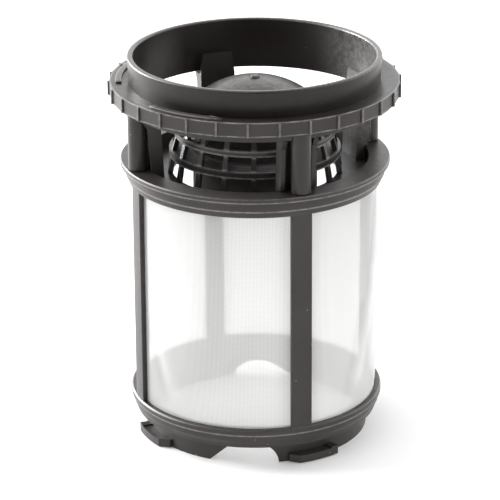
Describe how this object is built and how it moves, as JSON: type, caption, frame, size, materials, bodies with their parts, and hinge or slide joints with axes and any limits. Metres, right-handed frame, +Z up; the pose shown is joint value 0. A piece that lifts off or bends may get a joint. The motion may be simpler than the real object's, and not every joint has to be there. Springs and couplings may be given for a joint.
{
  "type": "dishwasher filter",
  "caption": "Cylindrical dishwasher filter: fine mesh drum in a ribbed frame, a grip flange and collar on four posts, and a domed coarse grid basket inside.",
  "frame": {"origin": "middle of the circle that the skirt stands on, at the height of its lower edge", "axes": "+Z up along the drum's axis towards the collar, -Y is the front with the drain arch"},
  "size_m": [0.0994, 0.0994, 0.134],
  "materials": {
    "frame_plastic": "matte moulded polypropylene, warm charcoal grey",
    "basket_plastic": "matte moulded polypropylene, dark warm grey",
    "filter_mesh": "fine plain-woven white nylon mesh, translucent"
  },
  "bodies": {
    "root": {"drum_frame": "frame_plastic", "mesh_sleeve": "filter_mesh", "upper_collar": "frame_plastic", "coarse_basket": "basket_plastic"}
  },
  "joints": []
}
